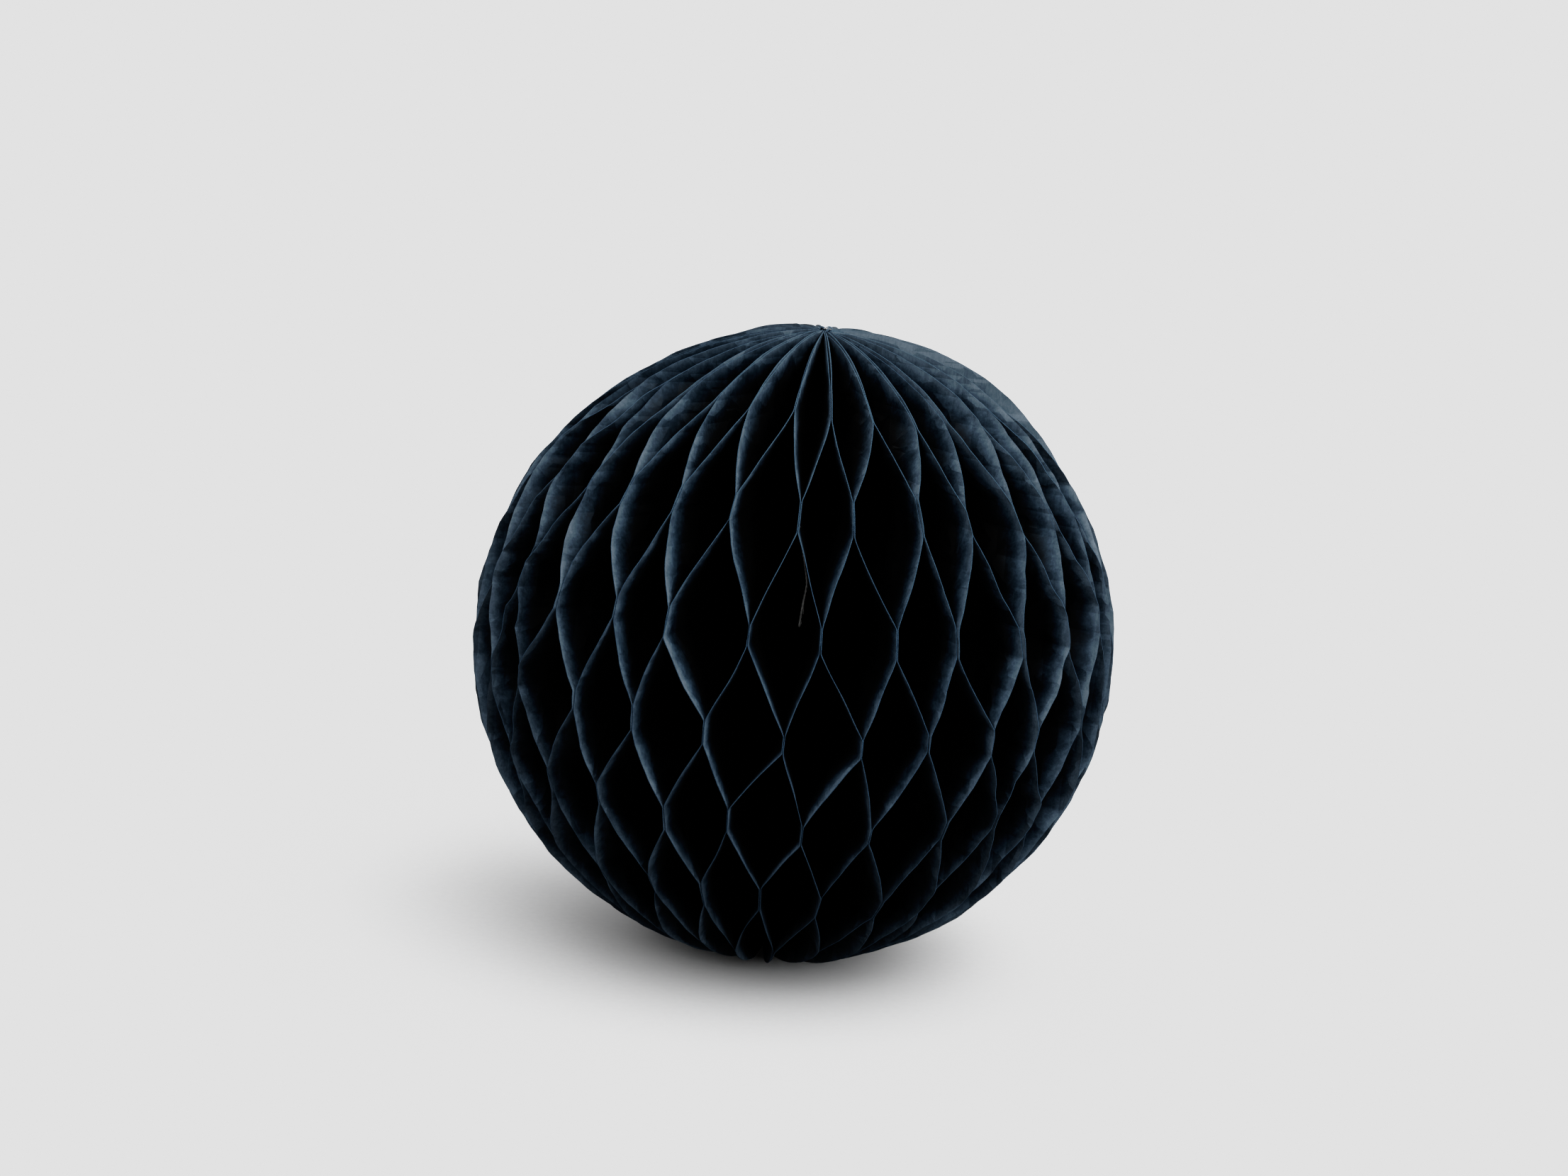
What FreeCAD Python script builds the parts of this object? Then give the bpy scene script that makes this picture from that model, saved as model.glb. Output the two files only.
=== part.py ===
"""Paper honeycomb ball: zigzag half-disc paper leaves fanned about a spine, closed by two card covers.

Frame: millimetres, +Z up along the spine, origin in the middle of the foot that the ball stands on.
The covers meet back to back in the half-plane +Y; leaves are counted anticlockwise from there.
"""
import FreeCAD, Part
import Sketcher
import os

# ---------------------------------------------------------------- driving dimensions

DIMENSIONS = (
    ("ball_radius", 50.0, "rim of the leaves from the centre of the ball"),
    ("foot_crush", 0.4, "how much of the lowest paper is flattened into the foot"),
    ("leaf_count", 56, "half-disc leaves in the fan, an even number"),
    ("paper_thickness", 0.1, "one leaf"),
    ("glue_gap", 0.08, "clearance between two leaves along a glue line"),
    ("glue_width", 4.0, "height of one glue line, where two leaves run side by side"),
    ("glue_pitch", 14.3, "from one glue line to the next"),
    ("glue_lowest", -44.9, "centre of the lowest glue line from the centre of the ball"),
    ("glue_lines", 7, "glue lines across the height of a leaf"),
    ("card_thickness", 0.4, "one cover"),
    ("card_radius", 49.4, "round edge of a cover"),
    ("card_inset", 5.0, "straight edge of a cover from the spine, so that the closed covers clear each other"),
    ("tape_thickness", 0.1, "double-sided tape between the covers"),
    ("tape_clearance", 0.02, "tape face to card face"),
    ("tape_width", 9.0, "tape, outwards from the spine"),
    ("tape_length", 26.0, "tape, along the spine"),
    ("tape_reach", 32.0, "tape's inner edge from the spine"),
    ("tape_spread", 2.5, "tape's near end from the middle of the cover"),
    ("thread_radius", 0.35, "binding thread along the spine"),
    ("thread_inset", 0.6, "thread end from the top and from the foot of the ball"),
    ("knot_radius", 0.8, "knot at each end of the thread"),
)

doc = FreeCAD.newDocument("HoneycombBall")
sheet = doc.addObject("Spreadsheet::Sheet", "Dimensions")
for line, (alias, value, meaning) in enumerate(DIMENSIONS, start=1):
    sheet.set(f"A{line}", alias)
    sheet.set(f"B{line}", str(value))
    sheet.set(f"C{line}", meaning)
    sheet.setAlias(f"B{line}", alias)
doc.recompute()

LEAF_COUNT = int(sheet.leaf_count)
GLUE_LINES = int(sheet.glue_lines)


def cell(alias):
    """Name of a sheet cell as an expression uses it."""
    return f"Dimensions.{alias}"


# Expressions worked out from the cells.
HALF_STEP = f"(180deg / {cell('leaf_count')})"
CORE_RADIUS = f"(({cell('paper_thickness')} + {cell('glue_gap')}) / (2 * sin({HALF_STEP})))"
CENTRE_HEIGHT = f"({cell('ball_radius')} - {cell('foot_crush')})"
CARD_OFFSET = f"({cell('tape_thickness')} / 2 + {cell('tape_clearance')})"
FAN_SPREAD = f"({CARD_OFFSET} + {cell('card_thickness')} + {cell('glue_gap')} / 2)"


def bind(thing, **expressions):
    """Bind properties to expressions; two underscores in a name stand for a dot."""
    for name, expression in expressions.items():
        thing.setExpression(name.replace("__", "."), expression)


# ---------------------------------------------------------------- one leaf

def glue_line_height(number, edge):
    """Height of a glue line's lower (-1) or upper (+1) edge; line 0 is the highest."""
    steps_up = GLUE_LINES - 1 - number
    return (f"{cell('glue_lowest')} + {steps_up} * {cell('glue_pitch')}"
            f" + {edge} * {cell('glue_width')} / 2")


def leaf_section(name, height, side):
    """Thin rectangle across a leaf, turned half a step to one side about the leaf's inner edge."""
    section = doc.addObject("Part::Plane", name)
    half_paper = f"{cell('paper_thickness')} / 2"
    bind(section,
         Length=cell("ball_radius"),
         Width=cell("paper_thickness"),
         Placement__Base__x=f"{CORE_RADIUS} + {side} * {half_paper} * sin({HALF_STEP})",
         Placement__Base__y=f"-{half_paper} * cos({HALF_STEP})",
         Placement__Base__z=height,
         Placement__Rotation__Angle=f"{side} * {HALF_STEP}")
    return section


def zigzag_sheet(name, first_side):
    """Uncut leaf: flat along each glue line, twisted from one side to the other between them."""
    last_side = first_side * (-1) ** (GLUE_LINES - 1)
    sections = [leaf_section(f"{name}_top", cell("ball_radius"), first_side)]
    for number in range(GLUE_LINES):
        side = first_side * (-1) ** number
        for edge, word in ((1, "upper"), (-1, "lower")):
            section_name = f"{name}_line_{number}_{word}"
            sections.append(leaf_section(section_name, glue_line_height(number, edge), side))
    sections.append(leaf_section(f"{name}_bottom", f"-{cell('ball_radius')}", last_side))
    sheet_of_paper = doc.addObject("Part::Loft", name)
    sheet_of_paper.Sections = sections
    sheet_of_paper.Solid = True
    sheet_of_paper.Ruled = True
    return sheet_of_paper


def cutting_ball():
    """Sphere with a flat foot: the outline that the leaves are cut to."""
    ball = doc.addObject("Part::Sphere", "CuttingBall")
    bind(ball,
         Radius=cell("ball_radius"),
         Angle1=f"-asin({CENTRE_HEIGHT} / {cell('ball_radius')})")
    return ball


def leaf(number, paper, outline):
    """Leaf in its place in the fan; the fan is spread a little to leave room for the covers."""
    piece = doc.addObject("Part::Common", f"Leaf{number:02d}")
    piece.Base = paper
    piece.Tool = outline
    piece.Label = f"leaf_{number:02d}"
    from_front = f"(({2 * number - 1} - {cell('leaf_count')}) / {cell('leaf_count')})"
    bind(piece,
         Placement__Rotation__Angle=f"-90deg + {from_front} * 180deg",
         Placement__Base__x=f"{FAN_SPREAD} * {from_front}",
         Placement__Base__z=CENTRE_HEIGHT)
    return piece


def leaves():
    """All leaves; odd ones lean forwards at the first glue line, even ones backwards."""
    outline = cutting_ball()
    papers = {1: zigzag_sheet("ForwardPaper", 1), 0: zigzag_sheet("BackwardPaper", -1)}
    return [leaf(number, papers[number % 2], outline) for number in range(1, LEAF_COUNT + 1)]


# ---------------------------------------------------------------- covers, tape and thread

def origin_plane(body, role):
    """One of the body's own origin planes."""
    return next(plane for plane in body.Origin.OriginFeatures if plane.Role == role)


def cover(label, name, side):
    """Card half-disc beside the seam, on the -X (side -1) or the +X (side 1) of it."""
    body = doc.addObject("PartDesign::Body", name)
    body.Label = label
    sketch = body.newObject("Sketcher::SketchObject", f"{name}Outline")
    sketch.AttachmentSupport = [(origin_plane(body, "YZ_Plane"), "")]
    sketch.MapMode = "FlatFace"
    radius = sheet.card_radius
    inset = sheet.card_inset
    half_chord = (radius ** 2 - inset ** 2) ** 0.5
    low = FreeCAD.Vector(inset, -half_chord, 0)
    high = FreeCAD.Vector(inset, half_chord, 0)
    arc = sketch.addGeometry(Part.Arc(low, FreeCAD.Vector(radius, 0, 0), high))
    chord = sketch.addGeometry(Part.LineSegment(high, low))
    origin = (-1, 1)
    sketch.addConstraint([
        Sketcher.Constraint("Coincident", arc, 2, chord, 1),
        Sketcher.Constraint("Coincident", arc, 1, chord, 2),
        Sketcher.Constraint("Coincident", arc, 3, *origin),
        Sketcher.Constraint("Vertical", chord),
    ])
    radius_rule = sketch.addConstraint(Sketcher.Constraint("Radius", arc, radius))
    inset_rule = sketch.addConstraint(
        Sketcher.Constraint("DistanceX", *origin, chord, 1, inset))
    sketch.setExpression(f"Constraints[{radius_rule}]", cell("card_radius"))
    sketch.setExpression(f"Constraints[{inset_rule}]", cell("card_inset"))
    pad = body.newObject("PartDesign::Pad", f"{name}Card")
    pad.Profile = sketch
    pad.Reversed = side < 0
    bind(pad, Length=cell("card_thickness"))
    bind(body,
         Placement__Base__x=f"{side} * {CARD_OFFSET}",
         Placement__Base__z=CENTRE_HEIGHT)
    return body


def closing_tape():
    """Two lengths of double-sided tape that hold the covers together along the seam."""
    strips = []
    for word, start in (("Upper", cell("tape_spread")),
                        ("Lower", f"-{cell('tape_spread')} - {cell('tape_length')}")):
        strip = doc.addObject("Part::Box", f"{word}Strip")
        bind(strip,
             Length=cell("tape_thickness"),
             Width=cell("tape_width"),
             Height=cell("tape_length"),
             Placement__Base__x=f"-{cell('tape_thickness')} / 2",
             Placement__Base__y=cell("tape_reach"),
             Placement__Base__z=f"{CENTRE_HEIGHT} + {start}")
        strips.append(strip)
    tape = doc.addObject("Part::Compound", "ClosingTape")
    tape.Links = strips
    tape.Label = "closing_tape"
    return tape


def binding_thread():
    """Thread along the hollow core of the fan, with a knot at each end."""
    bottom = cell("thread_inset")
    top = f"({CENTRE_HEIGHT} + {cell('ball_radius')} - {cell('thread_inset')})"
    strand = doc.addObject("Part::Cylinder", "Strand")
    bind(strand,
         Radius=cell("thread_radius"),
         Height=f"{top} - {bottom}",
         Placement__Base__z=bottom)
    knots = []
    for word, height in (("Top", f"{top} - {cell('knot_radius')}"),
                         ("Bottom", f"{bottom} + {cell('knot_radius')}")):
        knot = doc.addObject("Part::Sphere", f"{word}Knot")
        bind(knot, Radius=cell("knot_radius"), Placement__Base__z=height)
        knots.append(knot)
    thread = doc.addObject("Part::MultiFuse", "BindingThread")
    thread.Shapes = [strand] + knots
    thread.Label = "binding_thread"
    return thread


# ---------------------------------------------------------------- build, check and write

nodes = leaves()
nodes.append(cover("fixed_cover", "FixedCover", -1))
nodes.append(cover("turning_cover", "TurningCover", 1))
nodes.append(closing_tape())
nodes.append(binding_thread())
doc.recompute()

for thing in doc.Objects:
    if "Invalid" in thing.State or "Error" in thing.State:
        raise RuntimeError(f"{thing.Name} did not build: {thing.State}")
for node in nodes:
    if node.Shape.isNull() or not node.Shape.isValid():
        raise RuntimeError(f"{node.Label} has no valid shape")

os.makedirs("parts", exist_ok=True)
for node in nodes:
    node.Shape.exportStep(f"parts/{node.Label}.step")
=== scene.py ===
"""Looks of the paper honeycomb ball: creased paper leaves, card covers, tape and binding thread."""
import math

import bpy
import numpy as np
from mathutils import Matrix, Vector


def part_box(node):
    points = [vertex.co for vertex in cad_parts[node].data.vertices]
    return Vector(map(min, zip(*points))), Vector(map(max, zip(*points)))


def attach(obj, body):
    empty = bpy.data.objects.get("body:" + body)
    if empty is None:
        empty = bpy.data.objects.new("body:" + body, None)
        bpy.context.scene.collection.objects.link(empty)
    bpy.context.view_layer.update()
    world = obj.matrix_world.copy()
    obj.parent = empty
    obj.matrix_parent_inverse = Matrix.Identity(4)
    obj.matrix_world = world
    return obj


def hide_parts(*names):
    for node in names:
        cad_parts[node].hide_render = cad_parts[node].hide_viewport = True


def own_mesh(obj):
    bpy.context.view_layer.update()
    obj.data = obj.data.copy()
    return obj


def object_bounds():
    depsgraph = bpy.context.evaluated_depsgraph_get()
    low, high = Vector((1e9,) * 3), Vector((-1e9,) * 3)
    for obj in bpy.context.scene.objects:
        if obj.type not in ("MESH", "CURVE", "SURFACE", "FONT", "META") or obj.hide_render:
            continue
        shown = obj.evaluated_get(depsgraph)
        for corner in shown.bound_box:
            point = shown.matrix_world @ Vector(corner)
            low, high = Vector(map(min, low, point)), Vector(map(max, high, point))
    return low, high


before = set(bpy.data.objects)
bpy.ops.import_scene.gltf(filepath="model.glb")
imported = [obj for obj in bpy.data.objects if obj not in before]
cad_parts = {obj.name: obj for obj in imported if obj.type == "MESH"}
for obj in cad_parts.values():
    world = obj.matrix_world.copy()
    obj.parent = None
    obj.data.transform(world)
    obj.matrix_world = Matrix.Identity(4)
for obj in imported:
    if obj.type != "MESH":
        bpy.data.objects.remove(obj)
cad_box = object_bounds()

# ---------------------------------------------------------------- sizes, in millimetres

MM = 0.001
LEAF_NAMES = sorted(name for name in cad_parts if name.startswith("leaf_"))
LEAF_COUNT = len(LEAF_NAMES)
STEP = 360.0 / LEAF_COUNT                      # degrees from one leaf to the next

BALL_RADIUS = 50.0
CENTRE_HEIGHT = cad_box[1].z / MM - BALL_RADIUS + 0.02
PAPER = 0.11
PAIR_GAP = 0.18                                # middle of one leaf to middle of the next in a joint
INNER_EDGE = 0.55                              # the leaves' sewn edge, from the spine
FAN_SPREAD = 0.51                              # how far covers and tape push each end leaf sideways
RIM_START, RIM_WIDTH = 0.87, 0.13              # the flaring rim of a leaf, in shares of the radius
CORE_LEAN = 0.42                               # how far the end leaves lean back in at the spine
LEAN_END, LEAN_FADE = 2.5, 3.0                 # where that lean starts to fade, and over how much
FOOT_BAND = -47.0                              # below it a leaf isn't cut inside the ball's radius
CRUMPLED_FROM, CRUMPLED_OVER = 35, 25          # degrees from the front: creases start, and grow

# Glued joints on each of the seven lines, from the centre of the ball: height and length.
JOINT_LINES = ((43.0, 3.8), (28.6, 3.6), (11.9, 3.4), (-2.7, 2.9), (-17.1, 2.9), (-30.8, 3.4),
               (-44.9, 4.0))
LAST_LINE = len(JOINT_LINES) - 1

# How far joints stray from their even places, in degrees: one standard deviation, and the most.
JOINT_SPREAD = 0.9
MOST_SPREAD = 1.7

# Low swellings of the outline: direction in the ball, height and sharpness.
SWELLINGS = (
    (Vector((0.42, 0.15, 0.89)), 1.2, 28),
    (Vector((-0.60, 0.05, 0.80)), -0.9, 7),
    (Vector((-0.95, -0.05, -0.30)), 0.2, 8),
    (Vector((0.70, -0.10, -0.70)), -0.25, 8),
    (Vector((-1.0, 0.0, 0.1)), -0.3, 3),
)


def noise_waves(seed, count, shortest, longest):
    """Random plane waves over a leaf: direction and wave number, phase and weight of each."""
    draw = np.random.default_rng(seed)
    length = draw.uniform(shortest, longest, count)
    turn = draw.uniform(0, math.pi, count)
    phase = draw.uniform(0, 2 * math.pi, count)
    weight = draw.normal(0, 1, count) * (length / longest) / math.sqrt(count)
    return 2 * math.pi / length * np.cos(turn), 2 * math.pi / length * np.sin(turn), phase, weight


def waves(spec, out, up):
    """Sum of the plane waves at points given outwards from the spine and up it."""
    along_out, along_up, phase, weight = spec
    angle = (along_out[:, None, None] * out + along_up[:, None, None] * up
             + phase[:, None, None])
    return (weight[:, None, None] * np.sin(angle)).sum(0)


def eased(t, rounding):
    """From 0 to 1, straight in the middle and rounded over a share of the way at each end."""
    t = np.clip(t, 0, 1)
    slope = 1 / (1 - rounding)
    start = slope * t * t / (2 * rounding)
    middle = slope * (t - rounding / 2)
    end = 1 - slope * (1 - t) ** 2 / (2 * rounding)
    return np.where(t < rounding, start, np.where(t > 1 - rounding, end, middle))


# ---------------------------------------------------------------- the fan of leaves

def leaf_azimuth(number):
    """Degrees anticlockwise from the front (-Y) to a leaf's middle plane."""
    return (number - (LEAF_COUNT + 1) / 2) * STEP


def side_at(number, line):
    """Which neighbour a leaf is glued to on a line: 1 for the next leaf, -1 for the one before."""
    return 1 if (number + line) % 2 == 1 else -1


def joint(number, line):
    """The joint that holds a leaf on a line: leaf pair, azimuth, top and bottom."""
    pair = number if side_at(number, line) > 0 else number - 1
    draw = np.random.default_rng(1000 * line + pair)
    shift = float(np.clip(draw.normal(0, JOINT_SPREAD), -MOST_SPREAD, MOST_SPREAD))
    rise, length = draw.normal(0, 0.45), JOINT_LINES[line][1] + draw.uniform(-0.9, 0.9)
    if pair in (0, LEAF_COUNT):
        shift = 0.0
    height = JOINT_LINES[line][0] + rise
    azimuth = (pair - LEAF_COUNT / 2) * STEP + shift
    return pair, azimuth, height + length / 2, height - length / 2


def outline_radius(number, up):
    """Distance of a leaf's cut edge from the centre of the ball at heights up from the centre."""
    azimuth = math.radians(leaf_azimuth(number))
    level = np.clip(up / BALL_RADIUS, -1, 1)
    level_radius = np.sqrt(1 - level ** 2)
    radius = np.full_like(up, BALL_RADIUS)
    for direction, height, sharpness in SWELLINGS:
        unit = direction.normalized()
        facing = (unit.x * math.sin(azimuth) - unit.y * math.cos(azimuth)) * level_radius
        facing = facing + unit.z * level
        radius = radius + height * np.clip(facing, 0, 1) ** sharpness
    draw = np.random.default_rng(7000 + number)
    for length, size in ((34, 0.16), (15, 0.10), (6.5, 0.06), (2.7, 0.03)):
        radius = radius + size * np.sin(2 * math.pi * up / length + draw.uniform(0, 6.28))
    return radius + draw.normal(0, 0.12)


def leaf_heights(number):
    """Heights from the foot to the top, closer together near the leaf's own creases."""
    even = BALL_RADIUS * np.sin(np.linspace(-math.pi / 2, math.pi / 2, 124))
    creases = [edge + near for line in range(LAST_LINE + 1) for edge in joint(number, line)[2:]
               for near in (-0.8, -0.22, 0.0, 0.22, 0.8)]
    kept = [-CENTRE_HEIGHT]
    for height in sorted([*creases, *(level for level in even if min(
            abs(level - crease) for crease in creases) > 0.3)]):
        if kept[-1] + 0.1 < height < 0.9998 * BALL_RADIUS:
            kept.append(height)
    return np.array(kept)


# Columns of a leaf's grid, closer together near the rim.
REACH_SHARES = np.array([0, .03, .1, .2, .32, .44, .55, .65, .73, .8, .86, .905, .94, .965, .985,
                         1.0])


def glued_surface(number, line, out, up):
    """Where a leaf lies in a joint: sideways from its middle plane, for all its points."""
    side = side_at(number, line)
    pair, azimuth = joint(number, line)[:2]
    turn = math.radians(azimuth - leaf_azimuth(number))
    half_gap = np.minimum(PAIR_GAP / 2, side * out * math.tan(turn))
    share = out / BALL_RADIUS
    ripple = waves(noise_waves(3000 + 10 * pair + line, 5, 9, 30), out, up)
    ripple = ripple * np.clip((out - 4) / 20, 0, 1)
    return (out * math.tan(turn) - side * half_gap / math.cos(turn)
            + 0.14 * ripple * share ** 2 * (0.0 if pair in (0, LEAF_COUNT) else 1.0))


def sideways(number, out, up):
    """Sideways place of a leaf's points: zigzag from joint to joint, bowed, creased and flared."""
    share = np.clip(out / BALL_RADIUS, 0, 1.1)
    draw = np.random.default_rng(500 + number)
    left_half = max(0.0, math.sin(math.radians(-leaf_azimuth(number) + 5)))
    away = float(np.clip(leaf_azimuth(number) / 9, -1, 1))
    rim = np.clip((np.hypot(out, up) / BALL_RADIUS - RIM_START) / RIM_WIDTH, 0, 1.3)
    glued = [glued_surface(number, line, out, up) for line in range(LAST_LINE + 1)]
    edges = [joint(number, line)[2:] for line in range(LAST_LINE + 1)]
    ripples = waves(noise_waves(4000 + number, 7, 8, 28), out, up)
    crumpled = float(np.clip((abs(leaf_azimuth(number)) - CRUMPLED_FROM) / CRUMPLED_OVER, 0, 1))
    creases = np.abs(waves(noise_waves(4500 + number, 6, 10, 26), out, up)) - 0.25
    place = np.where(up > edges[0][1], glued[0], glued[LAST_LINE])
    for line in range(LAST_LINE):
        top, bottom = edges[line][1], edges[line + 1][0]
        way = np.clip((top - up) / (top - bottom), 0, 1)
        rounding = draw.uniform(0.02, 0.05)
        hump = np.sin(math.pi * way)
        leaning = side_at(number, line)
        bow = draw.normal(0, 0.16) - (0.75 * left_half if leaning < 0 else 0.1)
        flare = draw.uniform(-0.1, 1.0) * away * (1.0 if leaning * away > 0 else 0.45)
        panel = glued[line] + (glued[line + 1] - glued[line]) * eased(way, rounding)
        panel = panel + (bow * hump * share ** 1.5 + 0.34 * ripples * hump ** 1.5 * share ** 1.3
                         + 2.6 * crumpled * creases * hump * share ** 1.3
                         + flare * hump * (rim ** 2 - 1) * share)
        place = np.where((up <= top) & (up > bottom), panel, place)
        place = np.where((up <= bottom) & (up >= edges[line + 1][1]), glued[line + 1], place)
    if number in (1, LEAF_COUNT):
        core = 1 - eased((out - LEAN_END) / LEAN_FADE, 0.3)
        place = place + (-CORE_LEAN if number == 1 else CORE_LEAN) * core
    return place + loose_caps(number, out, up, share)


def loose_caps(number, out, up, share):
    """Beyond the first and last joint the two leaves of a pair part a little."""
    parted = np.zeros_like(up)
    for line, end, most in ((0, 1, 0.35), (LAST_LINE, -1, 0.7)):
        side = side_at(number, line)
        pair, _, top, bottom = joint(number, line)
        opening = np.random.default_rng(9000 + 10 * pair + line).uniform(0.1, most)
        own = np.random.default_rng(9500 + 10 * number + line).uniform(0.3, 1.0)
        start = top if end > 0 else bottom
        beyond = end * (up - start) / (BALL_RADIUS - end * start)
        arch = np.sin(math.pi * np.clip(beyond, 0, 1))
        parted = parted - side * opening * own * arch * share ** 0.7
    return parted


def leaf_grid(number):
    """Middle surface of a leaf, as a grid of points, and its thickness at each of them."""
    heights = leaf_heights(number)
    radius = outline_radius(number, heights)
    radius = np.where(heights < FOOT_BAND, np.maximum(radius, BALL_RADIUS), radius)
    heights = np.minimum(heights, np.sqrt(radius ** 2 - (INNER_EDGE + 0.1) ** 2))
    rim = np.sqrt(radius ** 2 - heights ** 2)
    out = INNER_EDGE + (rim - INNER_EDGE)[:, None] * REACH_SHARES[None, :]
    up = np.repeat(heights[:, None], len(REACH_SHARES), axis=1)
    side = sideways(number, out, up)
    azimuth = math.radians(leaf_azimuth(number))
    outwards = np.array([math.sin(azimuth), -math.cos(azimuth), 0])
    forwards = np.array([math.cos(azimuth), math.sin(azimuth), 0])
    points = (out[..., None] * outwards + side[..., None] * forwards
              + up[..., None] * np.array([0, 0, 1]))
    points[..., 0] += FAN_SPREAD * leaf_azimuth(number) / 180
    points[..., 2] += CENTRE_HEIGHT
    return points, np.minimum(PAPER, 0.8 * math.radians(STEP) * out)


def grid_normals(points):
    """Unit normals of a grid of points."""
    along_rows = np.gradient(points, axis=0)
    along_columns = np.gradient(points, axis=1)
    normals = np.cross(along_columns, along_rows)
    return normals / np.maximum(np.linalg.norm(normals, axis=2, keepdims=True), 1e-9)


def sheet_mesh(name, points, thickness):
    """Closed thin sheet about a grid: two faces of paper, and its cut edge as a second material."""
    rows, columns = points.shape[:2]
    offset = grid_normals(points) * thickness[..., None] / 2
    both = np.concatenate([(points + offset).reshape(-1, 3), (points - offset).reshape(-1, 3)])
    both[:, 2] = np.maximum(both[:, 2], 0.0)
    index = np.arange(rows * columns).reshape(rows, columns)
    back = index + rows * columns
    faces = []
    for grid, flip in ((index, False), (back, True)):
        quads = np.stack([grid[:-1, :-1], grid[:-1, 1:], grid[1:, 1:], grid[1:, :-1]], axis=-1)
        quads = quads.reshape(-1, 4)
        faces.append(quads[:, ::-1] if flip else quads)
    paper_faces = sum(len(quads) for quads in faces)
    ring = np.concatenate([index[0, :], index[1:, -1], index[-1, -2::-1], index[-2:0:-1, 0]])
    other = ring + rows * columns
    following = np.roll(ring, -1)
    faces.append(np.stack([following, ring, other, np.roll(other, -1)], axis=-1))
    quads = np.concatenate(faces)
    mesh = bpy.data.meshes.new(name)
    mesh.from_pydata((both * MM).tolist(), [], quads.tolist())
    material = np.zeros(len(quads), np.int32)
    material[paper_faces:] = 1
    mesh.polygons.foreach_set("material_index", material)
    mesh.polygons.foreach_set("use_smooth", np.ones(len(quads), bool))
    mesh.validate()
    mesh.set_sharp_from_angle(angle=math.radians(38))
    piece = bpy.data.objects.new(name, mesh)
    bpy.context.scene.collection.objects.link(piece)
    return piece


# ---------------------------------------------------------------- materials

PAINTED_LIGHT_FROM, PAINTED_LIGHT_TO = 46.4, 52.4                # reach from the centre over which painted shade gives way to the full colour and a painted highlight
# Pale grey painted highlight along the outermost rim of a leaf.
PAINTED_HIGHLIGHT_RIM = (0.054, 0.068, 0.082)


class Nodes:
    """Small helper that adds and links shader nodes."""

    def __init__(self, name):
        self.material = bpy.data.materials.new(name)
        self.material.use_nodes = True
        self.tree = self.material.node_tree
        self.shader = self.tree.nodes["Principled BSDF"]

    def add(self, kind, **values):
        node = self.tree.nodes.new(kind)
        for key, value in values.items():
            if hasattr(node, key):
                setattr(node, key, value)
            else:
                node.inputs[key.replace("_", " ")].default_value = value
        return node

    def link(self, source, target):
        self.tree.links.new(source, target)

    def noise(self, place, scale, detail=4.0, roughness=0.6, distortion=0.0):
        node = self.add("ShaderNodeTexNoise")
        node.inputs["Scale"].default_value = scale
        node.inputs["Detail"].default_value = detail
        node.inputs["Roughness"].default_value = roughness
        node.inputs["Distortion"].default_value = distortion
        self.link(place, node.inputs["Vector"])
        return node.outputs["Fac"]

    def stretched(self, place, stretch):
        node = self.add("ShaderNodeMapping")
        node.inputs["Scale"].default_value = stretch
        self.link(place, node.inputs["Vector"])
        return node.outputs["Vector"]

    def ramp(self, value, stops):
        node = self.add("ShaderNodeValToRGB")
        while len(node.color_ramp.elements) < len(stops):
            node.color_ramp.elements.new(0.5)
        for element, (position, colour) in zip(node.color_ramp.elements, stops):
            element.position = position
            element.color = (*colour, 1)
        self.link(value, node.inputs["Fac"])
        return node.outputs["Color"]

    def mix(self, factor, one, other, blend="MIX"):
        node = self.add("ShaderNodeMix", data_type="RGBA", blend_type=blend)
        self.set_or_link(node.inputs[0], factor)
        self.set_or_link(node.inputs[6], one)
        self.set_or_link(node.inputs[7], other)
        return node.outputs[2]

    def math(self, operation, one, other=0.0):
        node = self.add("ShaderNodeMath", operation=operation)
        self.set_or_link(node.inputs[0], one)
        self.set_or_link(node.inputs[1], other)
        return node.outputs[0]

    def set_or_link(self, socket, value):
        if isinstance(value, bpy.types.NodeSocket):
            self.link(value, socket)
        elif isinstance(value, tuple):
            socket.default_value = (*value, 1)
        else:
            socket.default_value = value


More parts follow.
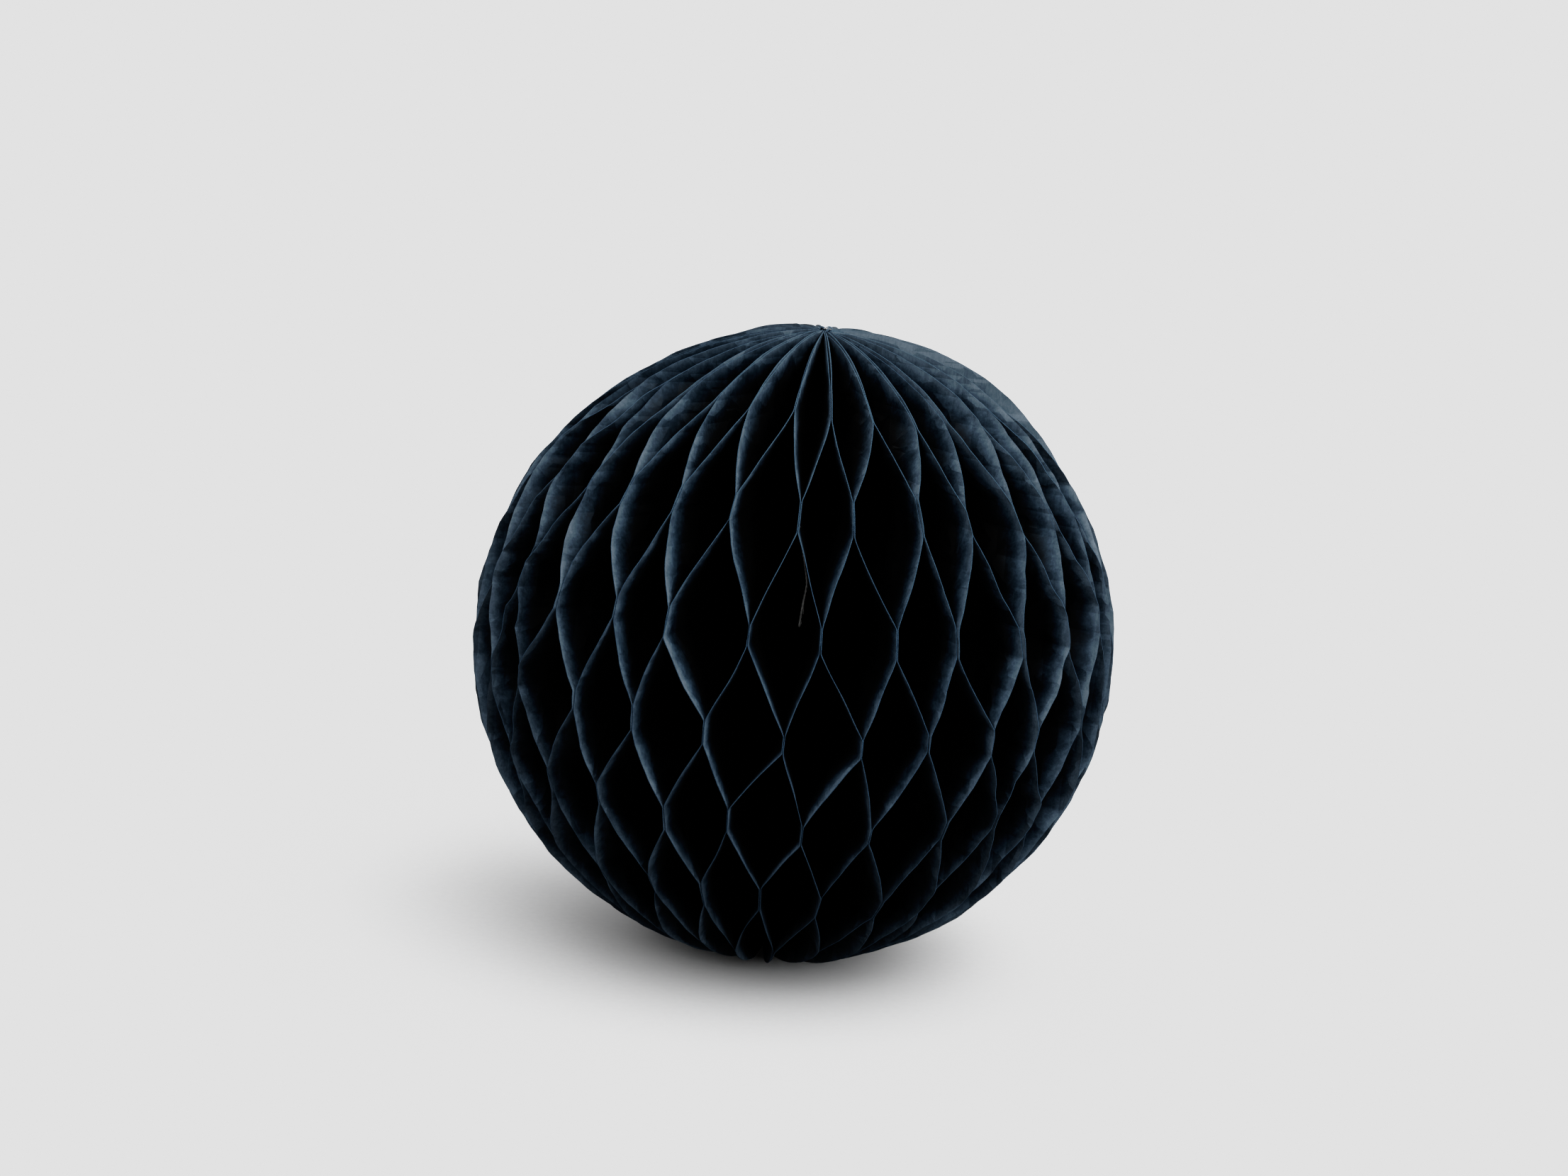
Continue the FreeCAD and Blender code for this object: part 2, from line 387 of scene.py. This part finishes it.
def paper_material(name, dark, light, roughness, crumple, fibre_scale, painted_shade_tone=1.0):
    """Uncoated dyed paper: clouds of dye, short fibres, a fine tooth and crumpled facets.

    Deep in the ball the colour is darkened as painted shade in the cells, and the outermost rim
    gets a pale grey painted highlight.
    """
    n = Nodes(name)
    place = n.add("ShaderNodeTexCoord").outputs["Object"]
    clouds = n.noise(place, 260, 5, 0.65)
    mottle = n.noise(place, 1500, 6, 0.7, 0.6)
    fibres = n.noise(n.stretched(place, (1.0, 1.0, 0.22)), fibre_scale, 5, 0.75, 1.2)
    cross = n.noise(n.stretched(place, (0.25, 0.25, 1.0)), fibre_scale, 4, 0.7, 1.0)
    tone = n.math("ADD", n.math("MULTIPLY", clouds, 0.3), n.math("MULTIPLY", mottle, 0.3))
    tone = n.math("ADD", tone, n.math("MULTIPLY", n.math("MAXIMUM", fibres, cross), 0.4))
    colour = n.ramp(tone, ((0.34, dark), (0.66, light)))
    # Painted shade: the colour darkens with depth into the ball, where the cells lie in shade; a
    # noise jitters where it starts.
    if painted_shade_tone < 1:
        reach = n.add("ShaderNodeVectorMath", operation="DISTANCE")
        n.link(place, reach.inputs[0])
        reach.inputs[1].default_value = (0, 0, CENTRE_HEIGHT * MM)
        painted_light_ramp = n.add("ShaderNodeMapRange", interpolation_type="SMOOTHSTEP")
        painted_light_jitter = n.math("ADD", n.math("MULTIPLY", clouds, 2.5 * MM),
                      n.math("MULTIPLY", mottle, 1.5 * MM))
        n.link(n.math("ADD", reach.outputs["Value"], painted_light_jitter), painted_light_ramp.inputs["Value"])
        painted_light_ramp.inputs["From Min"].default_value = PAINTED_LIGHT_FROM * MM
        painted_light_ramp.inputs["From Max"].default_value = PAINTED_LIGHT_TO * MM
        painted_shade_colour = n.mix(1.0, colour, (painted_shade_tone,) * 3, "MULTIPLY")
        colour = n.mix(n.math("POWER", painted_light_ramp.outputs["Result"], 2.0), painted_shade_colour, colour)
        # Painted highlight: pale grey along the outermost rim, broken up by the fibres.
        painted_highlight_mask = n.math("MULTIPLY", n.math("POWER", painted_light_ramp.outputs["Result"], 9.0), fibres)
        colour = n.mix(painted_highlight_mask, colour, PAINTED_HIGHLIGHT_RIM)
    n.link(colour, n.shader.inputs["Base Color"])
    rough = n.math("ADD", n.math("MULTIPLY", mottle, 0.16), roughness - 0.08)
    n.link(rough, n.shader.inputs["Roughness"])
    n.shader.inputs["Specular IOR Level"].default_value = 0.05
    cockle = n.noise(place, 190, 3, 0.5)
    facets = n.add("ShaderNodeTexVoronoi", distance="MANHATTAN", Scale=170.0)
    n.link(place, facets.inputs["Vector"])
    height = n.math("ADD", n.math("MULTIPLY", mottle, 0.30), n.math("MULTIPLY", fibres, 0.25))
    height = n.math("ADD", height, n.math("MULTIPLY", cockle, 1.8))
    height = n.math("ADD", height, n.math("MULTIPLY", facets.outputs["Distance"], crumple))
    bump = n.add("ShaderNodeBump")
    bump.inputs["Strength"].default_value = 0.55
    bump.inputs["Distance"].default_value = 0.12 * MM
    n.link(height, bump.inputs["Height"])
    n.link(bump.outputs["Normal"], n.shader.inputs["Normal"])
    return n.material


def edge_material():
    """Cut edge of a leaf, where the fibres show paler."""
    n = Nodes("paper_cut_edge")
    place = n.add("ShaderNodeTexCoord").outputs["Object"]
    fuzz = n.noise(place, 5200, 5, 0.75)
    n.link(n.ramp(fuzz, ((0.35, (0.008, 0.016, 0.025)), (0.75, (0.026, 0.041, 0.056)))),
           n.shader.inputs["Base Color"])
    n.shader.inputs["Roughness"].default_value = 0.9
    n.shader.inputs["Specular IOR Level"].default_value = 0.05
    return n.material


def tape_material():
    """Thin translucent tape with faint air marks."""
    n = Nodes("double_sided_tape")
    place = n.add("ShaderNodeTexCoord").outputs["Object"]
    marks = n.noise(n.stretched(place, (1, 1, 0.15)), 900, 4, 0.6)
    n.link(n.ramp(marks, ((0.3, (0.10, 0.10, 0.088)), (0.7, (0.19, 0.185, 0.165)))),
           n.shader.inputs["Base Color"])
    n.link(n.math("ADD", n.math("MULTIPLY", marks, 0.3), 0.2), n.shader.inputs["Roughness"])
    bump = n.add("ShaderNodeBump")
    bump.inputs["Distance"].default_value = 0.03 * MM
    n.link(marks, bump.inputs["Height"])
    n.link(bump.outputs["Normal"], n.shader.inputs["Normal"])
    return n.material


def thread_material(name, dark, light):
    """Spun cotton: fine fibres up the strand."""
    n = Nodes(name)
    place = n.add("ShaderNodeTexCoord").outputs["Object"]
    fibres = n.noise(n.stretched(place, (1, 1, 0.2)), 9000, 4, 0.7)
    n.link(n.ramp(fibres, ((0.3, dark), (0.7, light))), n.shader.inputs["Base Color"])
    n.shader.inputs["Roughness"].default_value = 0.85
    n.shader.inputs["Specular IOR Level"].default_value = 0.1
    bump = n.add("ShaderNodeBump")
    bump.inputs["Distance"].default_value = 0.02 * MM
    n.link(fibres, bump.inputs["Height"])
    n.link(bump.outputs["Normal"], n.shader.inputs["Normal"])
    return n.material


def floor_material():
    """Matt studio table."""
    n = Nodes("studio_paper")
    place = n.add("ShaderNodeTexCoord").outputs["Object"]
    grain = n.noise(place, 900, 5, 0.7)
    n.link(n.ramp(grain, ((0.2, (0.78, 0.78, 0.783)), (0.8, (0.84, 0.84, 0.843)))),
           n.shader.inputs["Base Color"])
    n.shader.inputs["Roughness"].default_value = 0.9
    n.shader.inputs["Specular IOR Level"].default_value = 0.2
    return n.material


# ---------------------------------------------------------------- pieces

def ride_leaf(piece, number):
    """A piece rides on a leaf's body, with a mesh of its own."""
    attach(piece, LEAF_NAMES[number - 1])
    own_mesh(piece)


def build_leaves(paper, edge):
    """One closed sheet of paper for each leaf."""
    for number, node in enumerate(LEAF_NAMES, start=1):
        piece = sheet_mesh(f"paper_{node}", *leaf_grid(number))
        piece.data.materials.append(paper)
        piece.data.materials.append(edge)
        ride_leaf(piece, number)
        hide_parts(node)


# Binding thread: strand radius, strand's way off the thread's middle, and pitch of the twist.
THREAD_STRAND, THREAD_LAY, THREAD_PITCH = 0.17, 0.15, 1.6
KNOT_STRAND = 0.2
FIBRE_RADIUS = 0.035


def tube(path, radii, sides=8):
    """Rows of points round a path, for a tube with closed ends."""
    path = np.array(path, float)
    radii = np.broadcast_to(radii, len(path))
    along = np.gradient(path, axis=0)
    along /= np.linalg.norm(along, axis=1, keepdims=True)
    across = np.cross(along, (0.31, 0.95, 0.11))
    across /= np.linalg.norm(across, axis=1, keepdims=True)
    third = np.cross(along, across)
    turns = np.arange(sides) * 2 * math.pi / sides
    return (path[:, None, :] + radii[:, None, None]
            * (np.cos(turns)[None, :, None] * across[:, None, :]
               + np.sin(turns)[None, :, None] * third[:, None, :]))


def tubes_object(name, rows_of_tubes):
    """One mesh from several closed tubes."""
    points, faces = [], []
    for rows in rows_of_tubes:
        start = len(points)
        count, sides = rows.shape[:2]
        points.extend((rows.reshape(-1, 3) * MM).tolist())
        for row in range(count - 1):
            for corner in range(sides):
                following = (corner + 1) % sides
                near, far = start + row * sides, start + (row + 1) * sides
                faces.append((near + corner, near + following, far + following, far + corner))
        faces.append(tuple(start + corner for corner in reversed(range(sides))))
        faces.append(tuple(start + (count - 1) * sides + corner for corner in range(sides)))
    mesh = bpy.data.meshes.new(name)
    mesh.from_pydata(points, [], faces)
    mesh.polygons.foreach_set("use_smooth", np.ones(len(faces), bool))
    piece = bpy.data.objects.new(name, mesh)
    bpy.context.scene.collection.objects.link(piece)
    return piece


def twisted(path, strand, lay, pitch):
    """Two strands wound round a path that runs mostly upwards."""
    path = np.array(path, float)
    length = np.concatenate([[0], np.cumsum(np.linalg.norm(np.diff(path, axis=0), axis=1))])
    strands = []
    for start in (0, math.pi):
        turn = start + 2 * math.pi * length / pitch
        wound = path + lay * np.stack([np.cos(turn), np.sin(turn), np.zeros_like(turn)], axis=1)
        strands.append(tube(wound, strand))
    return strands


def knot(centre, size, strand):
    """Overhand knot: a thread along a trefoil."""
    turn = np.linspace(0, 2 * math.pi, 61)
    trefoil = np.stack([np.sin(turn) + 2 * np.sin(2 * turn),
                        np.cos(turn) - 2 * np.cos(2 * turn),
                        -1.3 * np.sin(3 * turn)], axis=1)
    return tube(np.array(centre) + trefoil * size / 3, strand)


def smooth_path(corners, count):
    """Points along a Catmull-Rom curve through a few corners."""
    corners = np.array(corners, float)
    padded = np.vstack([2 * corners[0] - corners[1], corners, 2 * corners[-1] - corners[-2]])
    points = []
    for at in np.linspace(0, len(corners) - 1 - 1e-9, count):
        first = int(at)
        t = at - first
        a, b, c, d = padded[first:first + 4]
        points.append(0.5 * (2 * b + (c - a) * t + (2 * a - 5 * b + 4 * c - d) * t ** 2
                             + (3 * b - a - 3 * c + d) * t ** 3))
    return np.array(points)


def loose_fibres(draw, starts, spread, lift):
    """Short single fibres that stand off a thread's end."""
    fibres = []
    for start in starts:
        end = np.array(start) + draw.normal(0, spread) + lift
        middle = (start + end) / 2 + 0.4 * draw.normal(0, spread)
        fibres.append(tube(smooth_path((start, middle, end), 8), FIBRE_RADIUS, 5))
    return fibres


def build_thread(navy, cotton):
    """Two-ply thread down the core, knotted at both ends, with pale fibres at the top knot."""
    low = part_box("binding_thread")[0].z / MM
    foot, top = low + 0.6, CENTRE_HEIGHT + BALL_RADIUS - 0.1
    heights = np.arange(foot, top, 0.2)
    spine = np.stack([0 * heights, 0 * heights, heights], axis=1)
    strands = twisted(spine, THREAD_STRAND, THREAD_LAY, THREAD_PITCH)
    strands.append(knot((0.4, 0.35, top), 0.95, KNOT_STRAND))
    strands.append(knot((0, 0, foot), 0.6, KNOT_STRAND))
    thread = tubes_object("spine_thread", strands)
    draw = np.random.default_rng(78)
    start = np.array((0.15, -0.25, top + 0.3))
    fibres = loose_fibres(draw, [start] * 9, (0.5, 0.35, 0.1), (0.25, -0.3, 0.1))
    fray = tubes_object("thread_fray", fibres)
    for piece, material in ((thread, navy), (fray, cotton)):
        piece.data.materials.append(material)
        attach(piece, "fixed_cover")
        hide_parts("binding_thread")


def build_loose_end(cotton):
    """Pale loose end of thread that hangs in the front cell from the joint above it."""
    leaf = LEAF_COUNT // 2
    _, azimuth, _, joint_foot = joint(leaf, 1)
    reach = np.array((0.0, 0.1, -0.3, 0.2, 0.5, 0.2)) + 37.5
    drop = np.array((0.5, -2.6, -5.6, -8.6, -11.6, -15.0))
    aside = np.radians(azimuth + np.array((0.0, 0.9, 2.0, 2.9, 2.5, 2.2)))
    corners = np.stack([reach * np.sin(aside), -reach * np.cos(aside),
                        CENTRE_HEIGHT + joint_foot + drop], axis=1)
    path = smooth_path(corners, 70)
    strands = twisted(path, np.linspace(0.045, 0.13, len(path)), 0.07, 1.3)
    draw = np.random.default_rng(77)
    strands.extend(loose_fibres(draw, path[44:66:2], (0.14, 0.1, 0.4), (0, 0, -1.4)))
    piece = tubes_object("loose_thread_end", strands)
    piece.data.materials.append(cotton)
    ride_leaf(piece, leaf)


def dress_node(node, material):
    """Gives a CAD node that is shown as it is a material of its own."""
    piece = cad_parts[node]
    piece.data.materials.clear()
    piece.data.materials.append(material)


NAVY_DARK, NAVY_LIGHT = (0.0030, 0.0076, 0.0130), (0.0135, 0.0235, 0.0335)
# The last argument is the tone of the painted shade deep in the ball's cells.
leaf_paper = paper_material("navy_leaf_paper", NAVY_DARK, NAVY_LIGHT, 0.62, 13.0, 3800, 0.02)
cover_card = paper_material("navy_cover_card", (0.006, 0.012, 0.019), (0.016, 0.027, 0.038),
                            0.68, 0.6, 2400)
cotton = thread_material("cotton_thread", (0.10, 0.10, 0.098), (0.24, 0.237, 0.23))
build_leaves(leaf_paper, edge_material())
build_thread(thread_material("navy_thread", (0.006, 0.011, 0.018), (0.03, 0.045, 0.06)), cotton)
build_loose_end(cotton)
for node, material in (("fixed_cover", cover_card), ("turning_cover", cover_card),
                       ("closing_tape", tape_material())):
    dress_node(node, material)

# ---------------------------------------------------------------- floor, light and camera

bpy.ops.mesh.primitive_plane_add(size=8, location=(0, 2.0, 0))
floor = bpy.context.object
floor.name = "floor"
floor.data.materials.append(floor_material())


def unit_direction(azimuth, elevation):
    """Direction from the ball; azimuth 0 is the front (-Y) and grows towards +X."""
    azimuth, elevation = math.radians(azimuth), math.radians(elevation)
    return (math.sin(azimuth) * math.cos(elevation), -math.cos(azimuth) * math.cos(elevation),
            math.sin(elevation))


def studio_world(ambient, softboxes):
    """Dim room with soft lobes of light: azimuth, elevation, inner and outer angle, radiance."""
    world = bpy.data.worlds.new("studio")
    world.use_nodes = True
    tree = world.node_tree
    coordinates = tree.nodes.new("ShaderNodeTexCoord")
    total = None
    for azimuth, elevation, inner, outer, radiance in softboxes:
        facing = tree.nodes.new("ShaderNodeVectorMath")
        facing.operation = "DOT_PRODUCT"
        tree.links.new(coordinates.outputs["Generated"], facing.inputs[0])
        facing.inputs[1].default_value = unit_direction(azimuth, elevation)
        lobe = tree.nodes.new("ShaderNodeMapRange")
        lobe.interpolation_type = "SMOOTHSTEP"
        lobe.inputs["From Min"].default_value = math.cos(math.radians(outer))
        lobe.inputs["From Max"].default_value = math.cos(math.radians(inner))
        lobe.inputs["To Max"].default_value = radiance
        tree.links.new(facing.outputs["Value"], lobe.inputs["Value"])
        added = tree.nodes.new("ShaderNodeMath")
        tree.links.new(lobe.outputs["Result"], added.inputs[0])
        if total is None:
            added.inputs[1].default_value = ambient
        else:
            tree.links.new(total, added.inputs[1])
        total = added.outputs[0]
    background = tree.nodes["Background"]
    background.inputs["Color"].default_value = (1, 1, 1, 1)
    tree.links.new(total, background.inputs["Strength"])
    bpy.context.scene.world = world


# Lamps round the ball: name, azimuth and elevation in degrees, width in metres, and watts.
LAMPS = (
    ("key_right", 52, 48, 0.30, 13.5),
    ("key_left", -42, 50, 0.30, 12),
    ("top", 0, 86, 0.4, 1.5),
    ("low_right", 46, 6, 0.20, 5),
    ("back_right", 140, 48, 0.30, 9),
    ("back_left", -145, 48, 0.30, 9),
)


def lamp(name, azimuth, elevation, size, watts, flagged):
    """Round soft lamp a metre from the ball, flagged off the table so that it lights the ball."""
    data = bpy.data.lights.new(name, "AREA")
    data.shape = "DISK"
    data.size = size
    data.energy = watts
    piece = bpy.data.objects.new(name, data)
    direction = Vector(unit_direction(azimuth, elevation))
    piece.location = Vector((0, 0, CENTRE_HEIGHT * MM)) + direction
    piece.rotation_euler = direction.to_track_quat("Z", "Y").to_euler()
    piece.light_linking.receiver_collection = flagged
    bpy.context.scene.collection.objects.link(piece)


studio_world(0.38, ((32, 37, 12, 37, 2.1), (100, 52, 12, 37, 1.3), (0, 90, 0, 90, 0.8)))
off_the_table = bpy.data.collections.new("off_the_table")
off_the_table.objects.link(floor)
off_the_table.collection_objects[0].light_linking.link_state = "EXCLUDE"
for settings in LAMPS:
    lamp(*settings, off_the_table)


def film_response(points):
    """Contrasty print: deep shadows, and the pale floor runs out into one even tone."""
    settings = bpy.context.scene.view_settings
    settings.view_transform = "Standard"
    settings.use_curve_mapping = True
    settings.curve_mapping.extend = "HORIZONTAL"
    curve = settings.curve_mapping.curves[3]
    curve.points[0].location, curve.points[1].location = points[0], points[-1]
    for place in points[1:-1]:
        curve.points.new(*place)
    for point in curve.points:
        point.handle_type = "AUTO_CLAMPED"
    settings.curve_mapping.update()


film_response(((0, 0), (0.012, 0.003), (0.05, 0.037), (0.1, 0.112), (0.2, 0.24), (0.6, 0.66),
               (0.8, 0.75), (1, 0.76)))

ball_centre = Vector((0, 0, CENTRE_HEIGHT * MM))

# The camera stands a little to the right of the front and above the ball, rolled a few degrees.
CAMERA_AZIMUTH, CAMERA_HEIGHT_ANGLE, CAMERA_ROLL = (
    math.radians(degrees) for degrees in (1.4, 13.4, 5.7))
CAMERA_DISTANCE = 11.7 * BALL_RADIUS * MM
BALL_SHARE_OF_WIDTH = 0.4067                  # the ball's width over the frame's
AIM_RIGHT, AIM_UP = -0.0142, 0.0869           # aim from the ball's centre, in ball diameters

camera_data = bpy.data.cameras.new("camera")
camera = bpy.data.objects.new("camera", camera_data)
bpy.context.scene.collection.objects.link(camera)
away = Vector((math.sin(CAMERA_AZIMUTH) * math.cos(CAMERA_HEIGHT_ANGLE),
               -math.cos(CAMERA_AZIMUTH) * math.cos(CAMERA_HEIGHT_ANGLE),
               math.sin(CAMERA_HEIGHT_ANGLE)))
camera.location = ball_centre + away * CAMERA_DISTANCE
turn = (-away).to_track_quat("-Z", "Y").to_matrix() @ Matrix.Rotation(CAMERA_ROLL, 3, "Z")
aim = ball_centre + turn @ Vector((AIM_RIGHT, AIM_UP, 0)) * 2 * BALL_RADIUS * MM
towards = aim - camera.location
tilt = (-away).rotation_difference(towards.normalized())
camera.rotation_mode = "QUATERNION"
camera.rotation_quaternion = tilt @ turn.to_quaternion()
half_angle = math.asin(BALL_RADIUS * MM / CAMERA_DISTANCE)
camera_data.sensor_width = 36
camera_data.lens = 36 * BALL_SHARE_OF_WIDTH / (2 * math.tan(half_angle))
camera_data.clip_start, camera_data.clip_end = 0.01, 50
bpy.context.scene.camera = camera
